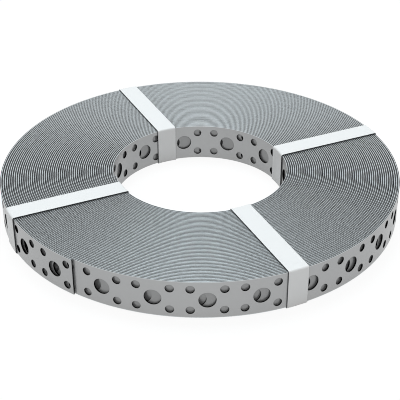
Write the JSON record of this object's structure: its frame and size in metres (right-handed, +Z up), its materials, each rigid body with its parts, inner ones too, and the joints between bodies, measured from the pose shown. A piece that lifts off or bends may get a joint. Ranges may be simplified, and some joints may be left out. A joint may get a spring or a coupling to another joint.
{
  "type": "perforated steel strap coil",
  "caption": "Coil of galvanised perforated steel strap, lying flat and held by four white tie bands.",
  "frame": {"origin": "middle of the coil on the floor that it lies on", "axes": "+Z up along the winding axis; the free end of the strap is at the front left, 124.7 degrees clockwise of +X"},
  "size_m": [0.2085, 0.2078, 0.0212],
  "materials": {
    "galvanised_steel": "hot-dip galvanised sheet, smooth, satin grey",
    "band_plastic": "smooth white plastic strapping"
  },
  "bodies": {
    "root": {"strap_coil": "galvanised_steel", "tie_band_front_right": "band_plastic", "tie_band_right": "band_plastic", "tie_band_back_left": "band_plastic", "tie_band_left": "band_plastic"}
  },
  "joints": []
}
